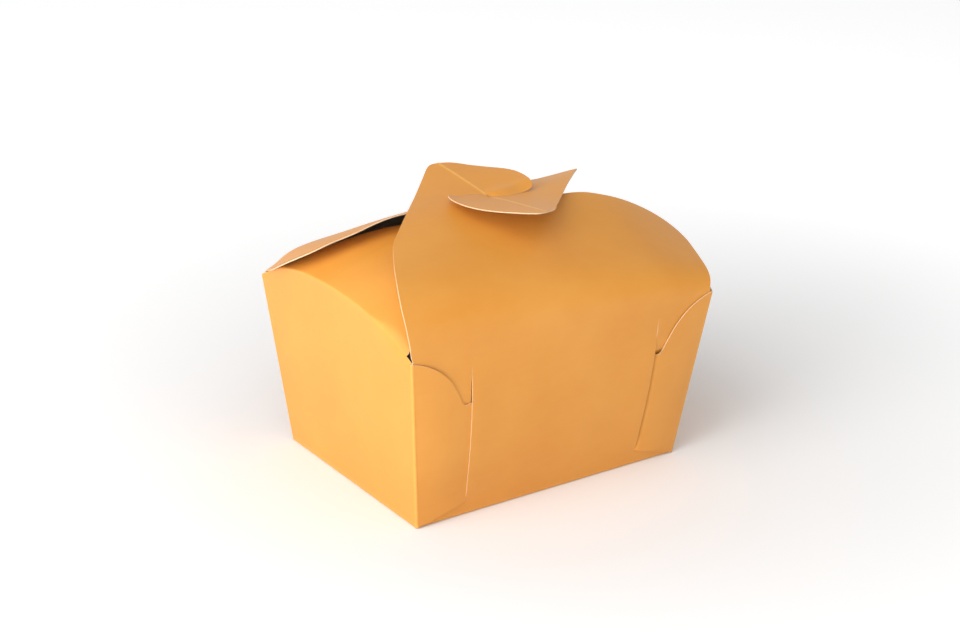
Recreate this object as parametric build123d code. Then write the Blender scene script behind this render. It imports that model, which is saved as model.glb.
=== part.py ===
from build123d import *
import math
import os

# Paper pastry basket: one die-cut paperboard blank, folded and locked without
# glue.  Millimetres, +Z up, origin at the middle of the base's underside,
# +X along the long front, front wall towards -Y.

# ---- driving dimensions -------------------------------------------------
BOARD = 0.45            # paperboard thickness
BASE_X = 61.1           # half length of the base
BASE_Y = 45.0           # half width of the base
RIM_Z = 70.0            # height of the wall corners
RIM_FLARE = 8.3         # how far every wall leans out at RIM_Z
GAP = 0.25              # air between layers that lie on each other
SIDE_GAP = 0.33         # air between a free wall edge and the end wall

SLIT_LOW = (40.1, 5.7)  # lower and upper end of a wall slit (|x|, z)
SLIT_TOP = (43.2, 63.8)
SLIT_WIDE = 1.5
TUCK = 8.0              # how far a corner flap reaches in behind its slit

# arched crease on an end wall: (|y|, z)
ARCH = [(0.0, 83.0), (17.5, 82.0), (29.0, 80.0), (38.5, 77.5), (47.0, 73.3),
        (54.0, 69.8)]
END_RISE = 11.5         # rise of an end flap above its crease
END_REACH = 23.0        # length over which it rises
END_LEN = 46.5          # length of an end flap
# reach of an end flap to either side at a distance from its crease: the side
# that stays hidden under a closing flap is the wider one
END_HALF = [(0.0, 46.0), (1.5, 41.0), (3.0, 38.0), (4.6, 35.6), (7.0, 33.2),
            (9.5, 31.7), (18.0, 28.9), (27.0, 27.3), (36.0, 25.9),
            (42.0, 24.3), (46.5, 21.5)]
END_WIDE = [(0.0, 52.2), (1.5, 51.2), (3.0, 50.2), (6.0, 47.6), (10.0, 44.0),
            (15.0, 39.6), (20.0, 36.0), (27.0, 32.2), (36.0, 29.0),
            (42.0, 26.6), (46.5, 23.0)]

# outline of a corner flap on the front or back wall: (|x|, z)
FLAP_TOP = [(69.3, 69.8), (66.1, 69.1), (62.8, 67.8), (58.6, 65.5),
            (55.9, 63.4), (53.8, 61.3), (51.3, 58.4), (49.2, 55.0),
            (47.5, 51.8), (46.3, 49.6), (45.0, 48.5), (43.6, 48.4),
            (41.6, 48.9)]
FLAP_LOW = [(40.6, 6.4), (55.4, 1.8), (61.2, 0.2)]

# closing flap: direction of the sheet (degrees from upright, inwards
# positive) at stations across the box (BEND_X) and at distances up the
# sheet from RIM_Z (BEND_S)
BEND_X = [-80.0, -50.0, -25.0, 0.0, 25.0, 50.0, 80.0]
BEND_S = [0.0, 5.0, 10.0, 15.0, 20.0, 27.0, 35.0, 45.0, 60.0, 80.0, 112.0]
BEND = [
    [-6.8, -2.4, 5.4, 18.7, 34.3, 54.8, 72.0, 82.9, 87.3, 94.8, 96.6],
    [-6.8, -0.1, 10.2, 25.3, 40.4, 57.8, 70.3, 77.1, 80.8, 91.8, 91.7],
    [-6.9, 1.8, 15.7, 31.7, 46.0, 60.3, 68.7, 73.1, 78.4, 87.9, 88.0],
    [-7.0, 5.3, 22.6, 40.1, 53.4, 63.4, 67.1, 69.7, 74.8, 82.6, 85.4],
    [-7.4, 10.0, 31.6, 49.4, 60.1, 65.3, 65.6, 66.9, 71.8, 78.2, 82.3],
    [-5.2, 21.2, 45.6, 59.3, 64.9, 65.2, 64.9, 66.5, 70.4, 74.2, 79.0],
    [22.5, 54.3, 72.4, 74.1, 73.4, 71.8, 70.3, 69.7, 69.6, 69.8, 74.9],
]
# extra lift of the tongue's hook, per mm of hook, along the sheet
HOOK_LIFT = [(60.0, 0.185), (69.0, 0.195), (73.6, 0.13), (78.0, 0.085),
             (82.0, 0.052), (87.0, 0.015), (91.0, -0.015), (97.0, -0.05),
             (112.0, -0.06)]

# outline of the closing flap on its sheet: (x, distance from RIM_Z)
EDGE_LEFT_LOW = [(-69.0, 1.6), (-69.7, 6.0), (-70.7, 12.3), (-70.8, 20.2),
                 (-69.4, 26.0)]
EDGE_LEFT_TOP = [(-69.4, 26.0), (-68.6, 28.3), (-66.8, 32.4), (-64.6, 37.0),
                 (-61.9, 41.9), (-59.1, 46.6), (-57.0, 50.0), (-53.9, 54.5)]
EDGE_STRAIGHT = [(-53.9, 54.5), (-6.0, 103.4)]
EDGE_HOOK = [(-6.0, 103.4), (-2.4, 105.0), (0.9, 105.0), (5.2, 102.8),
             (10.7, 96.2), (14.6, 91.1), (18.2, 86.7), (20.7, 81.6),
             (21.6, 76.0), (21.2, 71.6), (20.0, 68.6), (18.2, 66.4),
             (16.0, 65.8), (10.0, 68.0), (4.0, 70.8), (1.2, 71.8)]
EDGE_NOTCH = [(1.2, 71.8), (-0.6, 71.4), (-1.4, 69.8), (-1.0, 67.9),
              (1.4, 65.4), (5.0, 63.5), (9.0, 62.3), (16.0, 61.5)]
EDGE_RIGHT = [(16.0, 61.5), (24.0, 61.3), (33.2, 61.3), (41.9, 60.1),
              (48.6, 57.6), (55.8, 54.7), (61.2, 51.9), (66.4, 48.6),
              (70.4, 45.2), (73.7, 41.0), (75.8, 35.5), (76.1, 28.5),
              (74.6, 22.6), (72.7, 16.6), (71.0, 11.3), (69.8, 6.7)]
EDGE_RIGHT_LOW = [(69.8, 6.7), (69.1, 3.4), (68.8, 1.6)]

LEAN = RIM_FLARE / RIM_Z
SLOPE = math.sqrt(1.0 + LEAN * LEAN)


# ---- small interpolation helpers ----------------------------------------
def pchip(xs, ys):
    """Shape-keeping cubic through (xs, ys)."""
    n = len(xs)
    h = [xs[i + 1] - xs[i] for i in range(n - 1)]
    d = [(ys[i + 1] - ys[i]) / h[i] for i in range(n - 1)]
    m = [0.0] * n
    for i in range(1, n - 1):
        if d[i - 1] * d[i] > 0:
            w1, w2 = 2 * h[i] + h[i - 1], h[i] + 2 * h[i - 1]
            m[i] = (w1 + w2) / (w1 / d[i - 1] + w2 / d[i])
    m[0], m[-1] = d[0], d[-1]

    def f(x):
        x = min(max(x, xs[0]), xs[-1])
        i = 0
        while i < n - 2 and x > xs[i + 1]:
            i += 1
        t = (x - xs[i]) / h[i]
        return ((1 + 2 * t) * (1 - t) ** 2 * ys[i]
                + t * (1 - t) ** 2 * h[i] * m[i]
                + t * t * (3 - 2 * t) * ys[i + 1]
                + t * t * (t - 1) * h[i] * m[i + 1])
    return f


def natural(xs, ys):
    """Natural cubic spline through (xs, ys)."""
    n = len(xs)
    h = [xs[i + 1] - xs[i] for i in range(n - 1)]
    a, b, c, r = [0.0] * n, [1.0] * n, [0.0] * n, [0.0] * n
    for i in range(1, n - 1):
        a[i], b[i], c[i] = h[i - 1], 2 * (h[i - 1] + h[i]), h[i]
        r[i] = 6 * ((ys[i + 1] - ys[i]) / h[i] - (ys[i] - ys[i - 1]) / h[i - 1])
    for i in range(1, n):
        w = a[i] / b[i - 1]
        b[i] -= w * c[i - 1]
        r[i] -= w * r[i - 1]
    m = [0.0] * n
    m[-1] = r[-1] / b[-1]
    for i in range(n - 2, -1, -1):
        m[i] = (r[i] - c[i] * m[i + 1]) / b[i]

    def f(x):
        i = 0
        while i < n - 2 and x > xs[i + 1]:
            i += 1
        p, q = xs[i + 1] - x, x - xs[i]
        return ((m[i] * p ** 3 + m[i + 1] * q ** 3) / (6 * h[i])
                + (ys[i] / h[i] - m[i] * h[i] / 6) * p
                + (ys[i + 1] / h[i] - m[i + 1] * h[i] / 6) * q)
    return f


def smooth(t):
    t = min(max(t, 0.0), 1.0)
    return t * t * (3 - 2 * t)


# ---- sheet of the front wall and closing flap -----------------------------
ACROSS = [natural(BEND_X, [row[j] for row in BEND]) for j in range(len(BEND_S))]
LIFT = pchip([p[0] for p in HOOK_LIFT], [p[1] for p in HOOK_LIFT])
STEP = 0.25
PROFILE = {}


def profile(x):
    """Points (y, z) up the sheet from RIM_Z, every STEP mm, at one x."""
    key = round(x, 4)
    if key not in PROFILE:
        bend = pchip(BEND_S, [f(x) for f in ACROSS])
        y, z, pts = -(BASE_Y + RIM_FLARE), RIM_Z, []
        last = None
        for i in range(int(BEND_S[-1] / STEP) + 1):
            a = math.radians(bend(i * STEP))
            d = (math.sin(a), math.cos(a))
            if last:
                y += (last[0] + d[0]) / 2 * STEP
                z += (last[1] + d[1]) / 2 * STEP
            last = d
            pts.append((y, z))
        PROFILE[key] = pts
    return PROFILE[key]


def sheet(x, s):
    """Outer face of the front wall (s < 0) and its closing flap (s > 0)."""
    if s <= 0:
        z = RIM_Z + s / SLOPE
        return (x, -(BASE_Y + LEAN * z), z)
    pts = profile(x)
    i = min(int(s / STEP), len(pts) - 2)
    t = s / STEP - i
    y = pts[i][0] * (1 - t) + pts[i + 1][0] * t
    z = pts[i][1] * (1 - t) + pts[i + 1][1] * t
    if x > 0:
        z += (LIFT(s) * x * x / (x + 5.0)
              * smooth((s - (64.4 - 0.16 * min(x, 22.0))) / 3.2)
              * smooth((60.0 - x) / 30.0))
    return (x, y, z)


# stations across the box and up the sheet that the panel is lofted through
XS = [-80, -62, -45, -30, -16, -6, 0, 6, 12, 18, 24, 32, 42, 52, 61, 70, 80]
SS = [-71, -50, -30, -14, -5, 0, 3, 6, 9, 12, 15, 18, 21, 24, 27, 31, 35, 40,
      45, 50, 55, 59, 61.5, 63.5, 65.5, 67.5, 70, 73, 77, 82, 88, 95, 103, 111]


def strip(outer, inner, marks):
    """Closed section between an outer and an inner line of points."""
    back = [1.0 - m for m in marks[::-1]]
    return Wire([
        Edge.make_spline([Vector(*p) for p in outer], parameters=marks),
        Edge.make_line(outer[-1], inner[-1]),
        Edge.make_spline([Vector(*p) for p in inner[::-1]], parameters=back),
        Edge.make_line(inner[0], outer[0]),
    ])


def sheet_section(x):
    """Section of the sheet at one x, one board thick."""
    outer, inner = [], []
    for s in SS:
        p, a, b = sheet(x, s), sheet(x, s - 0.05), sheet(x, s + 0.05)
        dy, dz = b[1] - a[1], b[2] - a[2]
        n = BOARD / math.hypot(dy, dz)
        outer.append(p)
        inner.append((x, p[1] + n * dz, p[2] - n * dy))
    return strip(outer, inner, [(s - SS[0]) / (SS[-1] - SS[0]) for s in SS])


def plan(points):
    return [sheet(x, s)[:2] for x, s in points]


def front(points):
    return [(sheet(x, s)[0], sheet(x, s)[2]) for x, s in points]


def front_panel():
    slab = Solid.make_loft([sheet_section(x) for x in XS])

    # trim in the front view: free side edges of the wall and the lower part
    # of both flap edges
    side = BASE_X - BOARD * SLOPE - SIDE_GAP
    low, top = side, side + LEAN * (RIM_Z - 0.4)
    left = front(EDGE_LEFT_LOW)
    right = front(EDGE_RIGHT_LOW)[::-1]
    wire = Wire([
        Line((-low, 0), (low, 0)),
        Line((low, 0), (top, RIM_Z - 0.4)),
        Line((top, RIM_Z - 0.4), right[0]),
        Spline(*right),
        Line(right[-1], (95, right[-1][1] + 14)),
        Line((95, right[-1][1] + 14), (95, 130)),
        Line((95, 130), (-95, 130)),
        Line((-95, 130), (-95, left[-1][1] + 9)),
        Line((-95, left[-1][1] + 9), left[-1]),
        Spline(*left[::-1]),
        Line(left[0], (-top, RIM_Z - 0.4)),
        Line((-top, RIM_Z - 0.4), (-low, 0)),
    ])
    xz = Plane(origin=(0, 90, 0), x_dir=(1, 0, 0), z_dir=(0, -1, 0))
    tool = extrude(xz * Face(wire), amount=200)
    panel = slab & tool

    # trim in plan: upper flap edges, tongue, hook and notch
    lt, rt = plan(EDGE_LEFT_TOP), plan(EDGE_RIGHT)
    wire = Wire([
        Line((-95, -80), (95, -80)),
        Line((95, -80), (95, rt[-1][1] - 14)),
        Line((95, rt[-1][1] - 14), rt[-1]),
        Spline(*rt[::-1]),
        Spline(*plan(EDGE_NOTCH)[::-1]),
        Spline(*plan(EDGE_HOOK)[::-1]),
        Line(*plan(EDGE_STRAIGHT)[::-1]),
        Spline(*lt[::-1]),
        Line(lt[0], (-95, lt[0][1] - 9)),
        Line((-95, lt[0][1] - 9), (-95, -80)),
    ])
    panel = panel & extrude(Face(wire), amount=140)

    # slits that take the corner flaps
    for sign in (1, -1):
        (xa, za), (xb, zb) = SLIT_LOW, SLIT_TOP
        w = SLIT_WIDE / 2
        slot = Polyline((sign * (xa - w), za), (sign * (xa + w), za),
                        (sign * (xb + w), zb), (sign * (xb - w), zb),
                        close=True)
        panel = panel - extrude(xz * make_face(slot), amount=200)
    return panel


# ---- end wall, end flap and corner flaps ----------------------------------
arch = pchip([p[0] for p in ARCH], [p[1] for p in ARCH])


def end_wall():
    """Right-hand end wall, a flat plate with an arched top."""
    pl = Plane(origin=(BASE_X, 0, 0), x_dir=(0, 1, 0),
               z_dir=(1, 0, -LEAN))
    corner = GAP + BOARD * 0.72
    yb, yt = BASE_Y + corner, BASE_Y + RIM_FLARE + corner
    zt = RIM_Z
    top = [(y, (arch(abs(y)) + 0.10) * SLOPE) for y in
           (52, 49, 47, 43, 38.5, 33, 29, 23, 17.5, 8, 0, -8, -17.5, -23, -29,
            -33, -38.5, -43, -47, -49, -52)]
    wire = Wire([
        Line((-yb, 0), (yb, 0)),
        Line((yb, 0), (yt, zt * SLOPE)),
        Line((yt, zt * SLOPE), top[0]),
        Spline(*top),
        Line(top[-1], (-yt, zt * SLOPE)),
        Line((-yt, zt * SLOPE), (-yb, 0)),
    ])
    return extrude(pl * Face(wire), amount=-BOARD)


def end_flap():
    """Right-hand end flap, curving in from the arched crease."""
    qs = [0.12, 3, 6, 10, 15, 20, 26, 32, 38, 44, END_LEN + 1.5]
    marks = [(q - qs[0]) / (qs[-1] - qs[0]) for q in qs]
    wires = []
    for y in (-47, -42, -36, -30, -23, -15, -7, 0, 7, 15, 23, 30, 36, 42, 47, 50,
              53):
        z0 = arch(abs(y)) + 0.02
        outer, inner = [], []
        for q in qs:
            fall = math.exp(-q / END_REACH)
            pitch = math.atan(END_RISE / END_REACH * fall)
            x, z = BASE_X + LEAN * z0 - q, z0 + END_RISE * (1 - fall)
            outer.append((x, y, z))
            inner.append((x - BOARD * math.sin(pitch), y,
                          z - BOARD * math.cos(pitch)))
        wires.append(strip(outer, inner, marks))
    slab = Solid.make_loft(wires)

    # side edges and tip, cut in plan
    side = [(BASE_X + LEAN * arch(h) - q, h) for q, h in END_WIDE]
    other = [(BASE_X + LEAN * arch(h) - q, -h) for q, h in END_HALF[::-1]]
    tip = min(side[-1][0], other[0][0]) - 1.0
    wire = Wire([
        Line((90, other[-1][1]), (90, side[0][1])),
        Line((90, side[0][1]), side[0]),
        Spline(*side),
        Line(side[-1], (tip, 16)),
        Line((tip, 16), (tip, -16)),
        Line((tip, -16), other[0]),
        Spline(*other),
        Line(other[-1], (90, other[-1][1])),
    ])
    return slab & extrude(Face(wire), amount=140)


def corner_flap():
    """Flap at the right end of the front wall, tucked in through its slit."""
    (xa, za), (xb, zb) = SLIT_LOW, SLIT_TOP
    run = (xb - xa) / ((zb - za) * SLOPE)     # lean of the slit
    x0 = xa - za * SLOPE * run                # where it would meet z = 0
    h = BOARD / 2
    mid = [(90.0, GAP + h), (x0 + 0.7, GAP + h), (x0 - 0.7, -BOARD - GAP - h),
           (x0 - 30.0, -BOARD - GAP - h)]
    tan = math.tan(math.radians(22.5))
    up = [(mid[0][0], mid[0][1] + h), (mid[1][0] - h * tan, mid[1][1] + h),
          (mid[2][0] - h * tan, mid[2][1] + h), (mid[3][0], mid[3][1] + h)]
    dn = [(mid[0][0], mid[0][1] - h), (mid[1][0] + h * tan, mid[1][1] - h),
          (mid[2][0] + h * tan, mid[2][1] - h), (mid[3][0], mid[3][1] - h)]
    section = Plane.XZ * make_face(Polyline(*up, *dn[::-1], close=True))
    sheet_ = extrude(section, amount=80, dir=(run, 1, 0))

    inset = 0.15
    top = [(x, z * SLOPE) for x, z in FLAP_TOP]
    low = [(x, z * SLOPE) for x, z in FLAP_LOW]
    top[0] = (top[0][0] - inset, top[0][1])
    low[-1] = (low[-1][0] - inset, low[-1][1])
    tx = SLIT_LOW[0] - TUCK
    wire = Wire([
        Spline(*top),
        Line(top[-1], (tx + 4, 47.6)),
        Line((tx + 4, 47.6), (tx, 43)),
        Line((tx, 43), (tx - 1, 15)),
        Line((tx - 1, 15), (tx + 3, 9.5)),
        Line((tx + 3, 9.5), low[0]),
        Line(low[0], low[1]),
        Line(low[1], low[2]),
        Line(low[2], top[0]),
    ])
    tool = Plane.XY.offset(-5) * Face(wire)
    flap = sheet_ & extrude(tool, amount=10)
    pl = Plane(origin=(0, -BASE_Y, 0), x_dir=(1, 0, 0),
               z_dir=(0, -1, -LEAN))
    return pl * flap


# ---- the folded blank -----------------------------------------------------
base = Pos(0, 0, BOARD / 2) * Box(2 * BASE_X - BOARD, 2 * BASE_Y - BOARD, BOARD)
fp = front_panel()
ew = end_wall()
ef = end_flap()
cf = corner_flap()
cf2 = mirror(cf, about=Plane.YZ)
turn = Rot(0, 0, 180)
basket = base.fuse(fp, turn * fp, ew, turn * ew, ef, turn * ef,
                   cf, cf2, turn * cf, turn * cf2)

os.makedirs("parts", exist_ok=True)
solids = basket.solids()
print("solids", len(solids), "valid", basket.is_valid,
      "volume", round(basket.volume, 1), basket.bounding_box())
export_step(solids[0] if len(solids) == 1 else basket, "parts/pastry_basket.step")
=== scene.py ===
import math

import bpy
import numpy as np
from mathutils import Matrix, Vector
from mathutils.geometry import delaunay_2d_cdt
from mathutils.kdtree import KDTree


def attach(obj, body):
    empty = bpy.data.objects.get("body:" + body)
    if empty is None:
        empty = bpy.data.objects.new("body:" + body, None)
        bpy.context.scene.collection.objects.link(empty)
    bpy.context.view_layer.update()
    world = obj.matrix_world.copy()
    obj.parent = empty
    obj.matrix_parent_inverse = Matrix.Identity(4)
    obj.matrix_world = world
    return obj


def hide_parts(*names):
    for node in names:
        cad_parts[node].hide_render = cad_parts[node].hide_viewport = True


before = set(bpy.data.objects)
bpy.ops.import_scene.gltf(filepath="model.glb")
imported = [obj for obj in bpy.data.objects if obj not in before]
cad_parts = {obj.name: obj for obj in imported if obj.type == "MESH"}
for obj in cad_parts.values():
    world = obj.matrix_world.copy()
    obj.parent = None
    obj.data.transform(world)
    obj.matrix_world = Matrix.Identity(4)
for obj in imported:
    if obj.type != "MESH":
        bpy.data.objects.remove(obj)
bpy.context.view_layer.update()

# ---------------------------------------------------------------------------
# Dimensions of the folded blank, in millimetres
# ---------------------------------------------------------------------------
BOARD = 0.45
BASE_X, BASE_Y = 61.1, 45.0
RIM_Z, RIM_FLARE = 70.0, 8.3
K = RIM_FLARE / RIM_Z
SLOPE = math.sqrt(1 + K * K)

SLIT_LOW, SLIT_TOP = (40.1, 5.7), (43.2, 63.8)
TUCK = 8.0

ARCH = [(0, 83.0), (17.5, 82.0), (29.0, 80.0), (38.5, 77.5), (47.0, 73.3),
        (54.0, 69.8)]
END_RISE, END_REACH, END_LEN = 15.0, 23.5, 46.5
# reach of an end flap to either side, at a distance from its crease
END_HALF = [(0.0, 46.0), (1.5, 39.6), (3.0, 36.0), (4.6, 33.2), (7.0, 30.2),
            (9.5, 28.2), (13.0, 25.8), (18.0, 22.9), (22.0, 21.1),
            (27.0, 19.3), (31.0, 18.0), (36.0, 16.3), (42.0, 13.6),
            (46.5, 11.0)]
END_WIDE = [(0.0, 50.2), (1.5, 50.7), (3.0, 50.3), (6.0, 48.1), (10.0, 44.2),
            (15.0, 39.6), (20.0, 36.0), (27.0, 32.2), (36.0, 29.0),
            (42.0, 26.6), (46.5, 23.0)]
FLAP_TOP = [(69.3, 69.8), (66.1, 69.1), (62.8, 67.8), (58.6, 65.5),
            (55.9, 63.4), (53.8, 61.3), (51.3, 58.4), (49.2, 55.0),
            (47.5, 51.8), (46.3, 49.6), (45.0, 48.5), (43.6, 48.4),
            (41.6, 48.9)]
FLAP_LOW = [(40.6, 6.4), (55.4, 1.8), (61.2, 0.2)]

BEND_X = [-80.0, -50.0, -25.0, 0.0, 25.0, 50.0, 80.0]
BEND_S = [0.0, 5.0, 10.0, 15.0, 20.0, 27.0, 35.0, 45.0, 60.0, 80.0, 112.0]
BEND = [
    [-6.8, -2.4, 5.4, 18.7, 34.3, 54.8, 72.0, 82.9, 87.3, 94.8, 96.6],
    [-6.8, -0.1, 10.2, 25.3, 40.4, 57.8, 70.3, 77.1, 80.8, 91.8, 91.7],
    [-6.9, 1.8, 15.7, 31.7, 46.0, 60.3, 68.7, 73.1, 78.4, 87.9, 88.0],
    [-7.0, 5.3, 22.6, 40.1, 53.4, 63.4, 67.1, 69.7, 74.8, 82.6, 85.4],
    [-7.4, 10.0, 31.6, 49.4, 60.1, 65.3, 65.6, 66.9, 71.8, 78.2, 82.3],
    [-5.2, 21.2, 45.6, 59.3, 64.9, 65.2, 64.9, 66.5, 70.4, 74.2, 79.0],
    [22.5, 54.3, 72.4, 74.1, 73.4, 71.8, 70.3, 69.7, 69.6, 69.8, 74.9],
]
HOOK_LIFT = [(60.0, 0.185), (69.0, 0.195), (73.6, 0.13), (78.0, 0.085),
             (82.0, 0.052), (87.0, 0.015), (91.0, -0.015), (97.0, -0.05),
             (112.0, -0.06)]

# outline of a closing flap on its sheet, from the left rim corner over the
# tongue, the hook and the notch to the right rim corner
EDGE_LEFT = [(-68.3, 0.4), (-69.1, 2.4), (-69.8, 6.6), (-70.7, 12.3),
             (-70.8, 20.2), (-69.4, 26.0), (-68.6, 28.3), (-66.8, 32.4),
             (-64.6, 37.0), (-61.9, 41.9), (-59.1, 46.6), (-57.0, 50.0),
             (-53.9, 54.5), (-47.9, 60.6), (-41.9, 66.75), (-35.9, 72.85),
             (-29.95, 78.95), (-23.95, 85.05), (-18.0, 91.2), (-12.0, 97.3)]
EDGE_HOOK = [(-7.0, 102.4), (-5.3, 103.8), (-3.9, 104.6), (-2.4, 104.8),
             (0.7, 103.8), (3.0, 102.6), (5.2, 101.0), (9.3, 96.4), (14.0, 91.3),
             (19.4, 85.3), (21.3, 81.5), (21.9, 77.2), (21.6, 73.4),
             (20.7, 69.9), (19.4, 66.4), (17.8, 64.9), (15.6, 64.4),
             (10.0, 64.2), (5.0, 64.6), (2.6, 66.0)]
# the back flap's hook is pulled a little further through
EDGE_HOOK_BACK = [(-9.5, 100.3), (-6.0, 103.6), (-1.5, 106.0), (1.5, 107.0),
                  (4.0, 107.2), (6.6, 105.7), (9.3, 103.0), (14.5, 94.9),
                  (18.0, 88.6), (19.3, 84.0), (19.7, 78.6), (19.2, 71.6),
                  (18.4, 68.4), (17.2, 66.4), (15.6, 65.2), (13.6, 64.8),
                  (10.0, 64.6), (5.0, 64.9), (2.6, 66.1)]
EDGE_RIGHT = [(1.5, 67.7), (0.9, 69.0), (0.5, 69.8), (0.0, 70.0), (-0.4, 69.5),
              (-0.3, 68.4), (0.5, 66.6), (1.9, 64.9), (5.0, 63.3), (9.0, 62.2),
              (16.0, 61.4),
              (24.0, 61.3), (33.2, 61.3), (41.9, 60.1), (48.6, 57.6),
              (55.8, 54.7), (61.2, 51.9), (66.4, 48.6), (70.4, 45.2),
              (73.7, 41.0), (75.8, 35.5), (76.1, 28.5), (74.6, 22.6),
              (72.8, 16.6), (71.3, 11.3), (70.3, 7.4), (69.6, 5.0), (68.6, 2.6),
              (67.8, 0.5)]
EDGES = (EDGE_LEFT + EDGE_HOOK + EDGE_RIGHT,
         EDGE_LEFT + EDGE_HOOK_BACK + EDGE_RIGHT)
# middle of the cut between the hook and the flap below it
CUT_LINE = [(0.0, 68.8), (0.5, 68.2), (1.4, 66.6), (2.6, 65.2), (5.0, 64.0),
            (10.0, 63.2), (16.0, 62.9), (24.0, 62.4)]

# how the back flap's two sides bend differently from the front flap's
# (degrees, over x and the distance from the rim)
BACK_RIGHT_X = [20.0, 30.0, 45.0, 55.0, 63.0, 70.0, 78.0]
BACK_RIGHT_S = [0.0, 5.0, 10.0, 15.0, 20.0, 27.0, 35.0, 45.0, 60.0]
BACK_RIGHT = [
    [0.0, 0.0, 0.0, 0.0, 0.0, 0.0, 0.0, 0.0, 0.0],
    [0.4, 0.0, -0.3, -0.3, 0.0, 0.4, 0.6, 0.2, -1.6],
    [1.1, -0.5, -1.4, -1.3, -0.6, 0.6, 1.3, 0.5, -3.3],
    [5.4, 0.0, -2.8, -2.6, -1.4, 0.1, 1.7, 2.4, 1.3],
    [17.1, 4.0, -4.2, -4.9, -3.8, -1.7, 0.5, 1.7, 1.2],
    [35.6, 20.1, 0.7, -8.9, -9.8, -7.3, -4.6, -1.5, 0.5],
    [35.1, 19.3, 2.8, -8.9, -12.5, -10.7, -7.8, -4.7, -1.4],
]
BACK_LEFT_X = [-80.0, -68.0, -58.0, -46.0, -32.0, -18.0, -6.0]
BACK_LEFT_S = [0.0, 8.0, 15.0, 22.0, 30.0, 38.0, 48.0, 60.0, 75.0, 95.0]
BACK_LEFT = [
    [2.4, 3.6, 4.3, 3.6, 1.7, -0.1, -0.6, -0.5, -0.2, 0.1],
    [8.0, 10.8, 10.9, 7.4, 1.2, -4.4, -5.8, -3.4, -0.9, 0.5],
    [10.4, 12.9, 11.9, 6.7, -1.0, -8.4, -12.2, -6.3, -1.4, 0.7],
    [7.6, 9.5, 9.3, 6.2, 1.0, -4.9, -8.5, -5.8, -1.8, 0.6],
    [3.1, 3.9, 4.1, 3.3, 1.5, -1.0, -3.1, -3.1, -1.4, 0.2],
    [0.6, 0.7, 0.8, 0.8, 0.5, 0.0, -0.5, -0.7, -0.4, 0.4],
    [0.0, 0.0, 0.0, 0.0, 0.0, 0.0, 0.0, 0.0, 0.0, 0.0],
]

FOLD_R = 0.9                       # outer radius of the base folds
FOLD_T = FOLD_R * math.tan(math.radians((90 - math.degrees(math.atan(K))) / 2))
FOLD_A = math.pi / 2 - math.atan(K)
CORNER_R = 0.9                     # outer radius of the upright corner folds
CORNER_OUT = 0.55                  # a corner flap stands off the wall by this
END_X0 = BASE_X - FOLD_T           # where the base turns up into an end wall
SIDE = 60.45                       # free side edge of a front wall at z = 0


# ---------------------------------------------------------------------------
# Interpolation
# ---------------------------------------------------------------------------
def sstep(t):
    t = np.clip(t, 0.0, 1.0)
    return t * t * (3 - 2 * t)


def natural(xs, ys, xq):
    xs, ys, xq = np.asarray(xs, float), np.asarray(ys, float), np.asarray(xq, float)
    n, h = len(xs), np.diff(xs)
    a = np.zeros((n, n))
    r = np.zeros(n)
    a[0, 0] = a[-1, -1] = 1
    for i in range(1, n - 1):
        a[i, i - 1], a[i, i], a[i, i + 1] = h[i - 1], 2 * (h[i - 1] + h[i]), h[i]
        r[i] = 6 * ((ys[i + 1] - ys[i]) / h[i] - (ys[i] - ys[i - 1]) / h[i - 1])
    m = np.linalg.solve(a, r)
    i = np.clip(np.searchsorted(xs, xq) - 1, 0, n - 2)
    p, q = xs[i + 1] - xq, xq - xs[i]
    return ((m[i] * p ** 3 + m[i + 1] * q ** 3) / (6 * h[i])
            + (ys[i] / h[i] - m[i] * h[i] / 6) * p
            + (ys[i + 1] / h[i] - m[i + 1] * h[i] / 6) * q)


def pchip(xs, ys, xq):
    """Shape-keeping cubic; ys may hold several rows of values."""
    xs, xq = np.asarray(xs, float), np.asarray(xq, float)
    ys = np.asarray(ys, float)
    h = np.diff(xs)
    d = np.diff(ys, axis=-1) / h
    m = np.zeros_like(ys)
    d0, d1 = d[..., :-1], d[..., 1:]
    w1, w2 = 2 * h[1:] + h[:-1], h[1:] + 2 * h[:-1]
    ok = d0 * d1 > 0
    safe0, safe1 = np.where(ok, d0, 1.0), np.where(ok, d1, 1.0)
    m[..., 1:-1] = np.where(ok, (w1 + w2) / (w1 / safe0 + w2 / safe1), 0.0)
    m[..., 0], m[..., -1] = d[..., 0], d[..., -1]
    x = np.clip(xq, xs[0], xs[-1])
    i = np.clip(np.searchsorted(xs, x, side="right") - 1, 0, len(xs) - 2)
    t = (x - xs[i]) / h[i]
    return ((1 + 2 * t) * (1 - t) ** 2 * ys[..., i]
            + t * (1 - t) ** 2 * h[i] * m[..., i]
            + t * t * (3 - 2 * t) * ys[..., i + 1]
            + t * t * (t - 1) * h[i] * m[..., i + 1])


def columns(pairs):
    return [p[0] for p in pairs], [p[1] for p in pairs]


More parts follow.
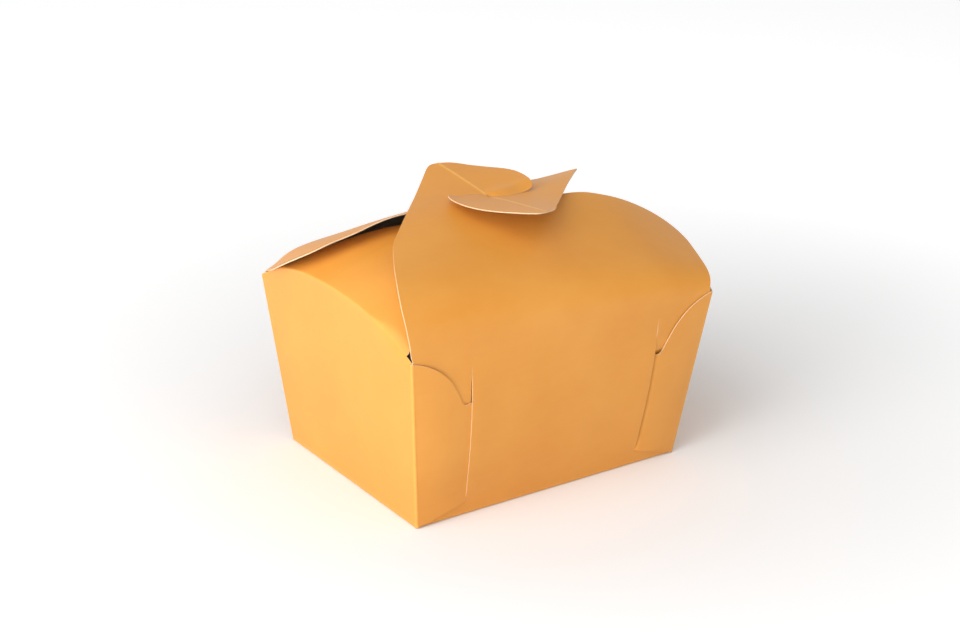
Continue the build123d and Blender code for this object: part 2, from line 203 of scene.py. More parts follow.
def rounded(points, step):
    """Points along a smooth curve through the given ones."""
    p = np.asarray(points, float)
    p = np.vstack([2 * p[0] - p[1], p, 2 * p[-1] - p[-2]])
    out = []
    for i in range(1, len(p) - 2):
        p0, p1, p2, p3 = p[i - 1:i + 3]
        t0 = 0.0
        t1 = t0 + np.linalg.norm(p1 - p0) ** 0.5
        t2 = t1 + np.linalg.norm(p2 - p1) ** 0.5
        t3 = t2 + np.linalg.norm(p3 - p2) ** 0.5
        n = max(1, int(round(np.linalg.norm(p2 - p1) / step)))
        for t in t1 + (t2 - t1) * np.arange(n) / n:
            a1 = (t1 - t) / (t1 - t0) * p0 + (t - t0) / (t1 - t0) * p1
            a2 = (t2 - t) / (t2 - t1) * p1 + (t - t1) / (t2 - t1) * p2
            a3 = (t3 - t) / (t3 - t2) * p2 + (t - t2) / (t3 - t2) * p3
            b1 = (t2 - t) / (t2 - t0) * a1 + (t - t0) / (t2 - t0) * a2
            b2 = (t3 - t) / (t3 - t1) * a2 + (t - t1) / (t3 - t1) * a3
            out.append((t2 - t) / (t2 - t1) * b1 + (t - t1) / (t2 - t1) * b2)
    out.append(p[-2])
    return np.array(out)


# ---------------------------------------------------------------------------
# The sheet of a front or back wall and its closing flap
# ---------------------------------------------------------------------------
TX = np.linspace(-84, 84, 337)
TS = np.linspace(0, 112, 449)
DS = TS[1] - TS[0]


def spread(xs, ss, rows, xq):
    """Values of a small table at stations xq across and TS up the sheet."""
    xq = np.clip(xq, xs[0], xs[-1])
    cols = np.stack([natural(xs, [r[j] for r in rows], xq)
                     for j in range(len(ss))], -1)
    return pchip(ss, cols, TS)


def bend_table(back):
    """y and z up the sheet from the rim, for stations across the box."""
    ang = spread(BEND_X, BEND_S, BEND, TX)
    if back:
        for xs, ss, rows in ((BACK_RIGHT_X, BACK_RIGHT_S, BACK_RIGHT),
                             (BACK_LEFT_X, BACK_LEFT_S, BACK_LEFT)):
            ang = ang + spread(xs, ss, rows, TX)
    r = np.radians(ang)
    sy, sz = np.sin(r), np.cos(r)
    zero = np.zeros((len(TX), 1))
    y = -(BASE_Y + RIM_FLARE) + np.concatenate(
        [zero, np.cumsum((sy[:, 1:] + sy[:, :-1]) / 2 * DS, 1)], 1)
    z = RIM_Z + np.concatenate(
        [zero, np.cumsum((sz[:, 1:] + sz[:, :-1]) / 2 * DS, 1)], 1)
    return y, z


TABLES = (bend_table(False), bend_table(True))


def lookup(table, x, s):
    i = np.clip((x - TX[0]) / (TX[1] - TX[0]), 0, len(TX) - 1.001)
    j = np.clip(s / DS, 0, len(TS) - 1.001)
    i0, j0 = i.astype(int), j.astype(int)
    a, b = i - i0, j - j0
    return ((1 - a) * (1 - b) * table[i0, j0] + a * (1 - b) * table[i0 + 1, j0]
            + (1 - a) * b * table[i0, j0 + 1] + a * b * table[i0 + 1, j0 + 1])


S_WALL = -RIM_Z * SLOPE + FOLD_T           # wall starts above the base fold
S_ARC = S_WALL - FOLD_R * FOLD_A           # base ends
S_MID = S_ARC - (BASE_Y - FOLD_T)          # middle of the base


def slit_x(z):
    (xa, za), (xb, zb) = SLIT_LOW, SLIT_TOP
    return xa + (xb - xa) * (z - za) / (zb - za)


def gape(z, right):
    """How far a slit stands open at a height, 0 to 1."""
    low = np.clip((z - SLIT_LOW[1]) / 6.0, 0, 1) ** 0.65
    if right:
        return low * sstep((57.0 - z) / 7.0)
    return low * sstep((SLIT_TOP[1] - z) / 9.0)


def flip(z):
    """Where the upper end of a right slit stands open the other way."""
    return sstep((z - 55.0) / 4.0) * sstep((SLIT_TOP[1] - z) / 4.0)


def wall_push(x, z):
    """Out-of-plane shift of a front wall beside its slits."""
    out = np.zeros_like(x)
    inside = (z > SLIT_LOW[1]) & (z < SLIT_TOP[1])
    for right in (False, True):
        side = (x > 0) if right else (x < 0)
        d = np.abs(x) - slit_x(z)
        g, f = gape(z, right), (flip(z) if right else 0.0)
        mid = 0.60 * g - 0.06 * f
        deep = 1.45 if right else 0.35
        rim = -(0.10 + deep * sstep((51.0 - z) / 3.0)) * g + 0.20 * f
        near = np.where(d < 0, mid * np.exp(-(d / 9.0) ** 2),
                        rim * np.exp(-(d / 7.0) ** 2))
        out = np.where(side & inside, near, out)
    return out


def wall_bow(x, z):
    """How far a front or back wall bows out between its folds."""
    wide = BASE_X - 1.2 + K * z
    return (1.95 * np.sin(np.pi * np.clip(z / 74.0, 0, 1)) ** 1.5
            * (1 - np.clip(np.abs(x) / wide, 0, 1) ** 4))


def sheet(x, b, back):
    """Outer face of the strip base - wall - closing flap.  b runs up the
    sheet: 0 at the rim line, negative down the wall and under the base."""
    x, b = np.asarray(x, float), np.asarray(b, float)
    ty, tz = TABLES[1 if back else 0]
    s = np.maximum(b, 0)
    y, z = lookup(ty, x, s), lookup(tz, x, s)
    # the hook is lifted over the other flap's tongue
    lift = pchip(*columns(HOOK_LIFT), s)
    hook = lift * x * x / (np.abs(x) + 5.0) * sstep((60.0 - x) / 30.0)
    hook = hook + 1.05 * sstep(x / 3.0) * sstep((15.0 - x) / 9.0) \
        * sstep((76.0 - s) / 7.5)
    if back:
        hook = hook + 1.2 * sstep((x - 9.0) / 9.0) * sstep((71.0 - s) / 6.0)
        z = z - 1.8 * np.exp(-((s - 26.0) / 13.0) ** 2) * sstep(s / 6.0) \
            * sstep((x + 28.0) / 42.0) * sstep((58.0 - x) / 34.0)
    over = s > np.interp(x, *columns(CUT_LINE))
    z = z + np.where((x > 0) & over, hook, 0.0)
    # pressed score line on the tongue
    z = z + 0.20 * np.exp(-(x / 0.42) ** 2) * sstep((s - 71.5) / 1.5) \
        * sstep((106.0 - s) / 1.5)
    y = y - wall_bow(x, RIM_Z + s / SLOPE) * (b > 0)

    wz = RIM_Z + b / SLOPE
    wall = (b <= 0) & (b >= S_WALL)
    push = wall_push(x, wz) + wall_bow(x, wz)
    y = np.where(wall, -(BASE_Y + K * wz) - push / SLOPE, y)
    z = np.where(wall, wz - push * K / SLOPE, z)

    arc = (b < S_WALL) & (b >= S_ARC)
    t = (b - S_ARC) / FOLD_R
    y = np.where(arc, -(BASE_Y - FOLD_T) - FOLD_R * np.sin(t), y)
    z = np.where(arc, FOLD_R * (1 - np.cos(t)), z)
    flat = b < S_ARC
    y = np.where(flat, -(BASE_Y - FOLD_T) + (S_ARC - b), y)
    z = np.where(flat, 0.0, z)
    return np.stack([x, y, z], -1)


def in_loop(points, loop):
    """Which points lie inside a closed loop."""
    x, y = points[:, 0], points[:, 1]
    inside = np.zeros(len(points), bool)
    a, b = loop, np.roll(loop, -1, 0)
    for (x1, y1), (x2, y2) in zip(a, b):
        if y1 == y2:
            continue
        cross = ((y1 > y) != (y2 > y)) & (
            x < (x2 - x1) * (y - y1) / (y2 - y1) + x1)
        inside ^= cross
    return inside


# stations along the base's short sides, shared by base and end walls
END_U = np.concatenate([np.linspace(-1, -0.86, 5), np.linspace(-0.82, 0.82, 34),
                        np.linspace(0.86, 1, 5)])
WIDE0 = BASE_Y + CORNER_OUT - 1.2
ATTACHED = np.abs(END_U * WIDE0) <= BASE_Y - FOLD_T - 0.3


def closing_strip(back):
    """Vertices, triangles and per-vertex crease and edge values."""
    edge = rounded(EDGES[1 if back else 0], 0.8)
    zs = np.linspace(0.9, RIM_Z - 0.4, 50)
    wall_r = np.stack([SIDE + K * zs, (zs - RIM_Z) * SLOPE], -1)
    wall_l = wall_r * (-1, 1)
    arc_b = np.linspace(S_ARC, S_WALL, 7)
    ys = np.sort(np.abs(END_U[ATTACHED & (END_U <= 0)] * WIDE0))
    ys = ys[ys > 1e-6]
    base_r = np.stack([np.full(len(ys), END_X0), S_MID + ys], -1)
    base_l = base_r * (-1, 1)
    xm = np.linspace(-END_X0, END_X0, 17)
    low = np.stack([xm, np.full(len(xm), S_MID)], -1)
    arc_r = np.stack([np.linspace(END_X0, SIDE, 7), arc_b], -1)
    arc_l = arc_r * (-1, 1)
    outline = np.vstack([low, base_r, arc_r, wall_r, edge[::-1], wall_l[::-1],
                         arc_l[::-1], base_l[::-1]])
    loops = [outline]
    # slits, as thin spindles
    for side in (-1, 1):
        z = np.linspace(SLIT_LOW[1], SLIT_TOP[1], 59)
        half = 0.05 * np.ones(len(z))
        half[0] = half[-1] = 0
        x = slit_x(z)
        b = (z - RIM_Z) * SLOPE
        right = np.stack([side * x + half, b], -1)
        left = np.stack([side * x - half, b], -1)
        loops.append(np.vstack([right, left[1:-1][::-1]]))

    bound = np.vstack(loops)
    tree = KDTree(len(bound))
    for i, p in enumerate(bound):
        tree.insert((p[0], p[1], 0), i)
    tree.balance()

    # points inside: a finer net on the bend and the tongue
    inner = []

    def net(x0, x1, b0, b1, dx, db, skip):
        for r, b in enumerate(np.arange(b0, b1, db)):
            x = np.arange(x0 + (dx / 2 if r % 2 else 0), x1, dx)
            inner.append(np.stack([x, np.full(len(x), b), np.full(len(x), skip)], -1))

    net(-78, 78, -2.0, 108, 1.35, 1.17, 0.62)
    net(-70, 70, S_WALL + 0.9, -2.6, 2.3, 2.0, 0.9)
    net(-END_X0 + 4, END_X0 - 2, S_MID + 6, S_ARC - 4, 7.5, 6.5, 1.5)
    for b in np.concatenate([arc_b, [S_ARC - 1.2, S_WALL + 0.35]]):
        x = np.linspace(-END_X0 + 1.5, END_X0 - 1.5, 52)
        inner.append(np.stack([x, np.full(52, b), np.full(52, 0.15)], -1))
    for side in (-1, 1):           # closer beside the slits
        z = np.linspace(SLIT_LOW[1] - 1, SLIT_TOP[1] + 1, 60)
        for off in (-2.4, -1.1, 1.1, 2.4):
            inner.append(np.stack([side * (slit_x(z) + off),
                                   (z - RIM_Z) * SLOPE, np.full(60, 0.7)], -1))
    for x in (-0.9, -0.45, 0.0, 0.45, 0.9):     # and along the score line
        b = np.arange(72.0, 107.0, 0.7)
        inner.append(np.stack([np.full(len(b), x), b, np.full(len(b), 0.3)], -1))
    inner = np.vstack(inner)
    inner = inner[in_loop(inner[:, :2], outline)]
    for hole in loops[1:]:
        inner = inner[~in_loop(inner[:, :2], hole)]
    keep, taken = [], KDTree(len(inner))
    for i, p in enumerate(inner):
        taken.insert((p[0], p[1], 0), i)
    taken.balance()
    special = np.zeros(len(inner), bool)
    special[inner[:, 2] <= 0.31] = True
    for i, p in enumerate(inner):
        if tree.find((p[0], p[1], 0))[2] < p[2]:
            continue
        if not special[i] and any(
                special[j] for _, j, _ in taken.find_range((p[0], p[1], 0), 0.45)):
            continue
        keep.append(i)
    pts = np.vstack([bound, inner[keep][:, :2]])
    edges, start = [], 0
    for loop in loops:
        n = len(loop)
        edges += [(start + i, start + (i + 1) % n) for i in range(n)]
        start += n
    got = delaunay_2d_cdt([Vector((float(a), float(b))) for a, b in pts], edges, [],
                          0, 1e-5)
    uv = np.array([(v.x, v.y) for v in got[0]])
    tri = np.array([f for f in got[2] if len(f) == 3])
    mid = uv[tri].mean(1)
    ok = in_loop(mid, outline)
    for hole in loops[1:]:
        ok &= ~in_loop(mid, hole)
    tri = tri[ok]
    a, b, c = uv[tri[:, 0]], uv[tri[:, 1]], uv[tri[:, 2]]
    area = ((b - a)[:, 0] * (c - a)[:, 1] - (b - a)[:, 1] * (c - a)[:, 0])
    tri = tri[np.abs(area) > 1e-5]
    area = area[np.abs(area) > 1e-5]
    tri[area < 0] = tri[area < 0][:, ::-1]
    used = np.unique(tri)
    remap = -np.ones(len(uv), int)
    remap[used] = np.arange(len(used))
    uv, tri = uv[used], remap[tri]

    pos = sheet(uv[:, 0], uv[:, 1], back)
    # fold and score-line mask that lightens the outside colour: partly worn coating,
    # partly painted highlight
    crease = np.exp(-((uv[:, 1] - (S_ARC + S_WALL) / 2) / 0.8) ** 2)
    score = np.exp(-(uv[:, 0] / 0.5) ** 2) * (uv[:, 1] > 71.4)
    crease = np.maximum(0.6 * crease, score)
    cut = np.array([tree.find((p[0], p[1], 0))[2] for p in uv])
    if back:
        pos = pos * (-1, -1, 1)
    return pos, [list(t) for t in tri], crease, cut


# ---------------------------------------------------------------------------
# End wall, end flap and two corner flaps (right-hand end)
# ---------------------------------------------------------------------------
def arch(y):
    return pchip(*columns(ARCH), np.abs(y))


def end_point(y, tau):
    """Point on the end sheet: tau < 0 down the wall from the arched crease,
    tau > 0 along the flap.  The crease softens towards one end."""
    z0 = arch(y)
    r = 0.6 + 6.0 * sstep((y - 26.0) / 18.0)
    up = np.arctan2(1.0, K)                       # direction of the wall
    rise = END_RISE * (1 - 0.34 * sstep((-y - 27.0) / 10.0))
    start = math.pi - np.arctan(rise / END_REACH)
    turn = start - up
    t = r * np.tan(turn / 2)
    x0 = BASE_X + K * z0
    # plain wall and flap
    wx, wz = x0 + tau * K / SLOPE, z0 + tau / SLOPE
    q = np.maximum(tau, 0)
    fx, fz = x0 - q, z0 + rise * (1 - np.exp(-q / END_REACH))
    x, z = np.where(tau < 0, wx, fx), np.where(tau < 0, wz, fz)
    # rounding
    a = np.clip((tau + t) / (2 * t), 0, 1) * turn
    sx, sz = x0 - t * K / SLOPE, z0 - t / SLOPE
    nx, nz = -1 / SLOPE, K / SLOPE                # towards the inside
    cx, cz = sx + r * nx, sz + r * nz
    px = cx - r * (nx * np.cos(a) - K / SLOPE * np.sin(a)) * 1.0
    pz = cz - r * (nz * np.cos(a) - 1 / SLOPE * np.sin(a)) * 1.0
    arc_end_x = cx - r * (nx * np.cos(turn) - K / SLOPE * np.sin(turn))
    arc_end_z = cz - r * (nz * np.cos(turn) - 1 / SLOPE * np.sin(turn))
    # the flap is slid so that it leaves the rounding without a step
    ft = x0 - t, z0 + rise * (1 - np.exp(-t / END_REACH))
    fade = np.exp(-np.maximum(tau - t, 0) / 6.0)
    x = np.where(tau > t, fx + (arc_end_x - ft[0]) * fade, x)
    z = np.where(tau > t, fz + (arc_end_z - ft[1]) * fade, z)
    on = np.abs(tau) <= t
    x, z = np.where(on, px, x), np.where(on, pz, z)
    return x, z


def flap_level(c, z, right):
    """How far a corner flap's face stands off the wall's plane.  On the right
    it dives into the slit within the last millimetre."""
    far = 0.55 - (0.30 if right else 0.45) * gape(z, right)
    swell = 0.5 - (0.3 * sstep((z - 20.0) / 25.0) if right else 0.0)
    level = (CORNER_OUT + (far - CORNER_OUT) * sstep(c)
             + swell * np.sin(np.pi * c))
    if right:
        level = level - 1.25 * gape(z, right) * np.exp(-((1 - c) / 0.052) ** 2)
    return level


def end_strip():
    rows_low = 7
    v = np.concatenate([np.linspace(0, 1, rows_low)])
    # ---- list of columns ------------------------------------------------
    cols = []
    tucks = [8.0, 6.5, 5.0, 3.5, 2.0, 1.0, 0.35]
    cs = np.concatenate([[1, 0.988, 0.976, 0.963, 0.949, 0.93, 0.9],
                         np.linspace(0.87, 0.08, 25),
                         [0.045, 0.02, 0.0]])
    es = [-0.95, -0.9, -0.6, -0.3, 0.0, 0.3, 0.6, 0.9, 0.95]
    for sgn in (-1, 1):
        part = [("tuck", sgn, t) for t in tucks]
        part += [("flap", sgn, c) for c in cs]
        part += [("corner", sgn, e) for e in es[::-1]]
        if sgn < 0:
            cols += part + [("wall", 0, u) for u in END_U]
        else:
            cols += part[::-1]

    flap_top_x, flap_top_z = columns(FLAP_TOP[::-1])
    flap_low_x, flap_low_z = columns(FLAP_LOW)

    def place(kind, sgn, val, z):
        """Plan position of a column at heights z."""
        xe, w = BASE_X + K * z, BASE_Y + K * z + CORNER_OUT
        right = sgn < 0
        if kind == "wall":
            return xe, val * (w - 1.2)
        if kind == "corner":
            r = CORNER_R
            if val <= -r:
                return xe, sgn * (w + val)
            if val >= r:
                return xe - val, sgn * w
            a = (val + r) / (2 * r) * math.pi / 2
            return (xe - r) + r * math.cos(a), sgn * ((w - r) + r * math.sin(a))
        if kind == "flap":
            xa = xe - 1.2
            x = xa - val * (xa - slit_x(z))
            return x, sgn * (BASE_Y + K * z + flap_level(val, z, right)
                             + wall_bow(x, z))
        g = gape(z, right)
        x = slit_x(z) - val
        lev = 0.60 * g * np.exp(-(val / 9.0) ** 2) - 0.52
        first = flap_level(1.0, z, right)
        m = min(val / 2.0, 1.0)
        return x, sgn * (BASE_Y + K * z + first * (1 - m) + lev * m
                         + wall_bow(x, z))

    def limits(kind, sgn, val):
        if kind == "wall":
            z = 72.0
            for _ in range(40):
                z = float(arch(np.array(val * (BASE_Y + K * z + CORNER_OUT - 1.2))))
            return 0.0, z
        if kind == "corner":
            return 0.22, 69.75
        if kind == "flap":
            lo, hi = 3.0, 60.0
            for _ in range(60):
                x, _y = place(kind, sgn, val, np.array(hi))
                hi = 0.5 * hi + 0.5 * float(pchip(flap_top_x, flap_top_z, x))
                x, _y = place(kind, sgn, val, np.array(lo))
                lo = 0.5 * lo + 0.5 * float(np.interp(x, flap_low_x, flap_low_z))
            return lo, hi
        top = 48.0 - 0.1 * val - 5.0 * float(sstep((val - 4) / 4))
        return 9.0 + 3.0 * float(sstep((val - 4) / 4)), top

    # heights: closer at the foot and under the crease
    vv = np.concatenate([np.linspace(0, 0.9, 34), np.linspace(0.915, 0.97, 6),
                         np.linspace(0.977, 1.0, 8)])
    arc_n = 6
    grid, crease, cut = [], [], []
    n_up = len(vv)
    qs = np.concatenate([np.linspace(0, 2.4, 11)[1:], [3, 3.8, 4.8, 6, 7.4, 9],
                         np.linspace(11, END_LEN + 1.0, 20)])
    for kind, sgn, val in cols:
        lo, hi = limits(kind, sgn, val)
        z_foot = FOLD_T / SLOPE
        pts, cr = [], []
        if kind == "wall":
            y0 = val * WIDE0
            for i in range(arc_n):
                a = i / arc_n * FOLD_A
                pts.append((END_X0 + FOLD_R * math.sin(a), y0,
                            FOLD_R * (1 - math.cos(a))))
                cr.append(0.6 * math.exp(-((i - arc_n / 2) / 2.2) ** 2))
            z = z_foot + (hi - z_foot) * vv
            y = val * (BASE_Y + K * z + CORNER_OUT - 1.2)
            tau = (z - arch(y)) * SLOPE
            x, zz = end_point(y, tau)
            bow = 0.4 * np.sin(np.pi * np.clip(z / 80.0, 0, 1)) ** 2 \
                * math.cos(val * math.pi / 2) ** 2
            x = x + bow
            for k in range(n_up):
                pts.append((x[k], y[k], zz[k]))
                cr.append(max(0.12 * math.exp(-(tau[k] / 0.8) ** 2),
                              0.6 * math.exp(-((z[k]) / 0.7) ** 2)))
        else:
            z_first = lo + (min(2.0, hi - lo) * 0.1)
            z_arc = lo + (z_first - lo) * np.arange(arc_n) / arc_n
            z = np.concatenate([z_arc, z_first + (hi - z_first) * vv])
            x, y = place(kind, sgn, val, z)
            x, y = np.broadcast_to(x, z.shape), np.broadcast_to(y, z.shape)
            for k in range(len(z)):
                pts.append((x[k], y[k], z[k]))
                cr.append(0.5 * math.exp(-(val / 0.8) ** 2) if kind == "corner" else 0)
        grid.append(pts)
        crease.append(cr)
    grid, crease = np.array(grid), np.array(crease)
    nc, nr = grid.shape[:2]
    verts = grid.reshape(-1, 3)
    values = crease.reshape(-1)
    faces = []
    for i in range(nc - 1):
        for j in range(nr - 1):
            a, b = i * nr + j, (i + 1) * nr + j
            faces.append([a, b, b + 1, a + 1])
    # ---- end flap on the arched crease ----------------------------------
    walls = [i for i, c in enumerate(cols) if c[0] == "wall"]
    root = [i for i in walls if -46.0 <= grid[i, -1, 1] <= 50.5]
    more, more_c = [], []
    base = len(verts)
    for i in root:
        y0 = grid[i, -1, 1]
        for q in qs:
            # rounded end of the flap
            reach = END_WIDE if y0 > 0 else END_HALF
            f = y0 / reach[0][1]
            stop = END_LEN + 1.0 - 4.0 * abs(f) ** 4
            qq = q * stop / (END_LEN + 1.0)
            y = f * float(pchip(*columns(reach), min(qq, END_LEN)))
            x, z = end_point(np.array(y), np.array(qq))
            more.append((float(x), y, float(z)))
            more_c.append(0.12 * math.exp(-(qq / 0.8) ** 2))
    nq = len(qs)
    ids = {}
    for k, i in enumerate(root):
        ids[i] = [i * nr + nr - 1] + [base + k * nq + j for j in range(nq)]
    for i, j in zip(root[:-1], root[1:]):
        for m in range(nq):
            faces.append([ids[i][m], ids[j][m], ids[j][m + 1], ids[i][m + 1]])
    verts = np.vstack([verts, np.array(more)])
    values = np.concatenate([values, more_c])
    return verts, faces, values


# ---------------------------------------------------------------------------
# One sheet: join the strips, then give it the board's thickness
# ---------------------------------------------------------------------------
def weld(parts):
    pos = np.vstack([p[0] for p in parts])
    values = np.concatenate([p[2] for p in parts])
    faces, start = [], 0
    for p in parts:
        faces += [[i + start for i in f] for f in p[1]]
        start += len(p[0])
    tree = KDTree(len(pos))
    for i, p in enumerate(pos):
        tree.insert(p, i)
    tree.balance()
    first = -np.ones(len(pos), int)
    for i, p in enumerate(pos):
        if first[i] < 0:
            for _, j, _ in tree.find_range(p, 0.02):
                if first[j] < 0:
                    first[j] = i
    keep = np.unique(first)
    new = -np.ones(len(pos), int)
    new[keep] = np.arange(len(keep))
    back = new[first]
    out = []
    for f in faces:
        g = []
        for i in f:
            k = int(back[i])
            if not g or g[-1] != k:
                g.append(k)
        if len(g) > 1 and g[0] == g[-1]:
            g.pop()
        if len(g) >= 3:
            out.append(g)
    return pos[keep], out, values[keep]


front = closing_strip(False)
rear = closing_strip(True)
end = end_strip()
other_end = (end[0] * (-1, -1, 1), end[1], end[2])
pos, faces, crease = weld([front, rear, end, other_end])


def vertex_normals(pos, faces):
    n = np.zeros_like(pos)
    for size in (3, 4):
        f = np.array([g for g in faces if len(g) == size])
        if not len(f):
            continue
        for k in range(size):
            a, b, c = pos[f[:, k - 1]], pos[f[:, k]], pos[f[:, (k + 1) % size]]
            u, w = a - b, c - b
            cr = np.cross(w, u)
            ln = np.linalg.norm(cr, axis=1, keepdims=True)
            uw = np.linalg.norm(u, axis=1) * np.linalg.norm(w, axis=1)
            ang = np.arctan2(ln[:, 0], (u * w).sum(1))
            np.add.at(n, f[:, k], cr / np.maximum(ln, 1e-12) * ang[:, None])
    return n / np.maximum(np.linalg.norm(n, axis=1, keepdims=True), 1e-12)


normals = vertex_normals(pos, faces)
count = len(pos)
inner_pos = pos - BOARD * normals
seen = {}
for f in faces:
    for a, b in zip(f, f[1:] + f[:1]):
        seen[(a, b)] = seen.get((a, b), 0) + 1
rim = [(a, b) for (a, b) in seen if (b, a) not in seen]
all_faces = ([list(f) for f in faces]
             + [[i + count for i in f[::-1]] for f in faces]
             + [[b, a, a + count, b + count] for a, b in rim])
slots = np.array([0] * len(faces) + [1] * len(faces) + [2] * len(rim), np.int32)
all_pos = np.vstack([pos, inner_pos]) / 1000.0

mesh = bpy.data.meshes.new("folded_board")
mesh.from_pydata(all_pos.tolist(), [], all_faces)
mesh.polygons.foreach_set("material_index", slots)
mesh.polygons.foreach_set("use_smooth", np.ones(len(all_faces), bool))
sharp = set()
for a, b in rim:
    for p, q in ((a, b), (a + count, b + count)):
        sharp.add((min(p, q), max(p, q)))
ev = np.zeros(len(mesh.edges) * 2, np.int32)
mesh.edges.foreach_get("vertices", ev)
ev = np.sort(ev.reshape(-1, 2), 1)
flags = np.array([(int(a), int(b)) in sharp for a, b in ev], bool)
att = mesh.attributes.new("sharp_edge", "BOOLEAN", "EDGE")
att.data.foreach_set("value", flags)

# distance of every point from the nearest cut edge, and the crease values
cut_tree = KDTree(len(rim))
for i, (a, b) in enumerate(rim):
    cut_tree.insert(pos[a], i)
cut_tree.balance()
cut = np.array([min(cut_tree.find(p)[2], 10.0) for p in pos], np.float32)
for name, val in (("crease", crease), ("cut", cut)):
    att = mesh.attributes.new(name, "FLOAT", "POINT")
    att.data.foreach_set("value", np.concatenate([val, val]).astype(np.float32))
mesh.update()

board = bpy.data.objects.new("folded_board", mesh)
bpy.context.scene.collection.objects.link(board)


# ---------------------------------------------------------------------------
# Materials
# ---------------------------------------------------------------------------
def new_material(name):
    m = bpy.data.materials.new(name)
    m.use_nodes = True
    t = m.node_tree
    t.nodes.clear()
    out = t.nodes.new("ShaderNodeOutputMaterial")
    sh = t.nodes.new("ShaderNodeBsdfPrincipled")
    t.links.new(sh.outputs["BSDF"], out.inputs["Surface"])
    return m, t, sh


def node(t, kind, **kw):
    n = t.nodes.new(kind)
    for k, v in kw.items():
        if k == "inputs":
            for name, val in v.items():
                n.inputs[name].default_value = val
        else:
            setattr(n, k, v)
    return n


def noise(t, coord, scale, detail=3.0, rough=0.55, stretch=(1, 1, 1)):
    m = node(t, "ShaderNodeMapping")
    m.inputs["Scale"].default_value = stretch
    t.links.new(coord, m.inputs["Vector"])
    n = node(t, "ShaderNodeTexNoise",
             inputs={"Scale": scale, "Detail": detail, "Roughness": rough})
    t.links.new(m.outputs["Vector"], n.inputs["Vector"])
    return n.outputs["Fac"]


def ramp(t, fac, stops):
    r = node(t, "ShaderNodeValToRGB")
    e = r.color_ramp.elements
    while len(e) > len(stops):
        e.remove(e[-1])
    while len(e) < len(stops):
        e.new(0.5)
    for el, (p, c) in zip(e, stops):
        el.position = p
        el.color = (*c, 1.0) if len(c) == 3 else c
    t.links.new(fac, r.inputs["Fac"])
    return r.outputs["Color"]


def mix(t, fac, a, b, blend="MIX"):
    m = node(t, "ShaderNodeMix", data_type="RGBA", blend_type=blend)
    for sock, val in ((m.inputs[0], fac), (m.inputs[6], a), (m.inputs[7], b)):
        if hasattr(val, "is_linked"):
            t.links.new(val, sock)
        else:
            sock.default_value = val if not isinstance(val, tuple) else (*val, 1.0)
    return m.outputs[2]


def math_node(t, op, a, b=None):
    m = node(t, "ShaderNodeMath", operation=op)
    for sock, val in zip(m.inputs, (a, b)):
        if val is None:
            continue
        if hasattr(val, "is_linked"):
            t.links.new(val, sock)
        else:
            sock.default_value = val
    return m.outputs[0]


def map_range(t, val, a, b, c, d):
    m = node(t, "ShaderNodeMapRange")
    m.clamp = True
    t.links.new(val, m.inputs[0])
    for i, x in enumerate((a, b, c, d)):
        m.inputs[1 + i].default_value = x
    return m.outputs[0]


def bump(t, height, strength, distance, after=None):
    b = node(t, "ShaderNodeBump", inputs={"Strength": strength, "Distance": distance})
    t.links.new(height, b.inputs["Height"])
    if after is not None:
        t.links.new(after, b.inputs["Normal"])
    return b.outputs["Normal"]


def attribute(t, name):
    return node(t, "ShaderNodeAttribute", attribute_name=name).outputs["Fac"]


ORANGE = (0.780, 0.322, 0.045)
ORANGE_DEEP = (0.755, 0.300, 0.038)
ORANGE_PALE = (0.805, 0.346, 0.056)

# coated outside: solid orange print on a clay-coated board
outside, t, sh = new_material("coated_orange")
co = node(t, "ShaderNodeTexCoord").outputs["Object"]
cloud = noise(t, co, 26.0, 3.0, 0.5)
fibre = noise(t, co, 420.0, 4.0, 0.6, (0.35, 1.0, 1.0))
grain = noise(t, co, 1500.0, 2.0, 0.5)
col = ramp(t, cloud, [(0.3, ORANGE_DEEP), (0.5, ORANGE), (0.7, ORANGE_PALE)])
col = mix(t, map_range(t, fibre, 0.35, 0.75, 0.0, 0.10), col, (0.86, 0.40, 0.085))
# folds and the score line are painted lighter: partly worn coating, partly a painted
# highlight where the crease catches the light
fold_wear_and_highlight = math_node(t, "MULTIPLY", attribute(t, "crease"),
                 map_range(t, fibre, 0.3, 0.7, 0.5, 0.8))
col = mix(t, fold_wear_and_highlight, col, (0.96, 0.54, 0.13))
lip = map_range(t, attribute(t, "cut"), 0.0, 0.4, 0.12, 0.0)
col = mix(t, lip, col, (0.90, 0.50, 0.18))
t.links.new(col, sh.inputs["Base Color"])
t.links.new(map_range(t, cloud, 0.3, 0.7, 0.42, 0.52), sh.inputs["Roughness"])
sh.inputs["IOR"].default_value = 1.48
nrm = bump(t, grain, 0.10, 0.00006)
nrm = bump(t, fibre, 0.16, 0.00010, nrm)
nrm = bump(t, noise(t, co, 60.0, 2.0, 0.5), 0.10, 0.0006, nrm)
t.links.new(nrm, sh.inputs["Normal"])

# uncoated inside
inside, t, sh = new_material("raw_board_inside")
co = node(t, "ShaderNodeTexCoord").outputs["Object"]
fibre = noise(t, co, 300.0, 5.0, 0.65, (0.3, 1.0, 1.0))
fleck = noise(t, co, 900.0, 2.0, 0.6)
col = ramp(t, fibre, [(0.25, (0.60, 0.52, 0.45)), (0.55, (0.68, 0.60, 0.53)),
                      (0.8, (0.74, 0.67, 0.60))])
col = mix(t, map_range(t, fleck, 0.66, 0.8, 0.0, 0.35), col, (0.46, 0.37, 0.29))
t.links.new(col, sh.inputs["Base Color"])
t.links.new(map_range(t, fibre, 0.3, 0.7, 0.78, 0.92), sh.inputs["Roughness"])
t.links.new(bump(t, fibre, 0.35, 0.0002), sh.inputs["Normal"])

